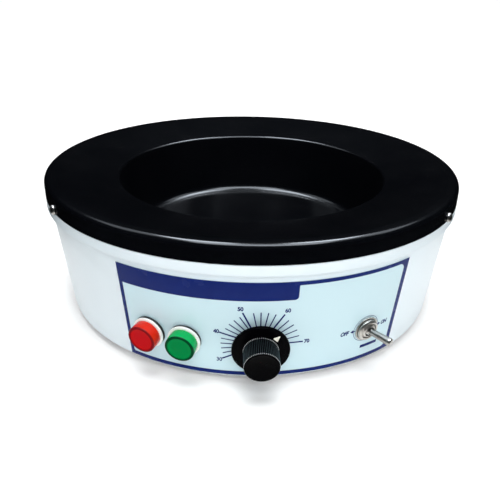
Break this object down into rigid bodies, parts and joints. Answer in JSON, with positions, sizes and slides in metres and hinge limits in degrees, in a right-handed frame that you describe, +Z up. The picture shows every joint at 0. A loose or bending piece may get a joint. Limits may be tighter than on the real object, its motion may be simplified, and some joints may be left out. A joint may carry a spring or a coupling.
{
  "type": "tissue flotation bath",
  "caption": "Round electric bench bath: black dished pan with a deep bowl on a white tapered housing with a dial knob, signal lamps and a toggle switch.",
  "frame": {"origin": "on the surface that the feet stand on, under the centre of the bowl", "axes": "+Z up along the bowl's axis, -Y towards the user who faces the control label, +X to the user's right"},
  "size_m": [0.35, 0.3786, 0.116],
  "materials": {
    "black_enamel": "satin black stove enamel on spun steel",
    "white_powder_coat": "smooth semi-gloss white powder coat on formed steel",
    "label_film": "pale blue printed polyester film",
    "bright_chrome": "bright chrome plate",
    "nickel_plate": "bright nickel plate",
    "zinc_steel": "zinc-plated steel",
    "red_lens": "glossy red acrylic",
    "green_lens": "glossy green acrylic",
    "white_nylon": "moulded white nylon",
    "black_rubber": "matte black rubber",
    "black_phenolic": "satin black phenolic moulding",
    "pointer_white": "off-white paint",
    "brown_phenolic": "brown phenolic moulding",
    "copper": "drawn copper",
    "mica_board": "mica board heater",
    "glass_wool": "pressed glass wool",
    "brass": "plain brass",
    "wire_red": "red cable insulation",
    "wire_black": "black cable insulation",
    "wire_blue": "blue cable insulation"
  },
  "bodies": {
    "bath": {"bowl_pan": "black_enamel", "housing": "white_powder_coat", "base_plate": "zinc_steel", "control_label": "label_film", "pan_screw_left": "bright_chrome", "pan_screw_right": "bright_chrome", "pan_screw_rear": "bright_chrome", "base_screw_front": "zinc_steel", "base_screw_left": "zinc_steel", "base_screw_right": "zinc_steel", "foot_front_left": "black_rubber", "foot_front_right": "black_rubber", "foot_rear_left": "black_rubber", "foot_rear_right": "black_rubber", "foot_screw_front_left": "zinc_steel", "foot_screw_front_right": "zinc_steel", "foot_screw_rear_left": "zinc_steel", "foot_screw_rear_right": "zinc_steel", "lamp_red_gasket": "black_rubber", "lamp_red_body": "white_nylon", "lamp_red_lens": "red_lens", "lamp_red_nut": "white_nylon", "lamp_green_gasket": "black_rubber", "lamp_green_body": "white_nylon", "lamp_green_lens": "green_lens", "lamp_green_nut": "white_nylon", "thermostat_plate": "zinc_steel", "thermostat_body": "brown_phenolic", "thermostat_screw_left": "zinc_steel", "thermostat_screw_right": "zinc_steel", "thermostat_diaphragm": "copper", "sensor_bulb": "copper", "capillary_tube": "copper", "switch_washer": "nickel_plate", "switch_dress_nut": "nickel_plate", "switch_bushing": "nickel_plate", "switch_back_nut": "nickel_plate", "switch_body": "brown_phenolic", "switch_tab_supply": "brass", "switch_tab_load": "brass", "heater_element": "mica_board", "insulation_pad": "glass_wool", "clamp_plate": "zinc_steel", "heater_nut": "zinc_steel", "heater_stud": "zinc_steel", "gland_body": "black_phenolic", "gland_lock_nut": "black_phenolic", "gland_cap": "black_phenolic", "gland_seal": "black_rubber", "terminal_block": "white_nylon", "block_screw": "zinc_steel", "earth_screw": "brass", "wire_block_to_switch": "wire_red", "wire_switch_to_thermostat": "wire_red", "wire_thermostat_to_heater": "wire_black", "wire_heater_to_block": "wire_blue"},
    "dial_knob": {"control_knob": "black_phenolic", "knob_pointer": "pointer_white", "thermostat_shaft": "zinc_steel"},
    "toggle_lever": {"switch_lever": "bright_chrome"}
  },
  "joints": [
    {"name": "knob_turn", "type": "hinge", "parent": "bath", "child": "dial_knob", "pos_m": [0.0081, -0.16526, 0.0369], "axis": [0.0486, -0.9929, -0.1084], "range_deg": [-46, 161.5]},
    {"name": "toggle_throw", "type": "hinge", "parent": "bath", "child": "toggle_lever", "pos_m": [0.0849, -0.1441, 0.03671], "axis": [0.055, -0.0934, 0.9941], "range_deg": [-33, 0]}
  ]
}
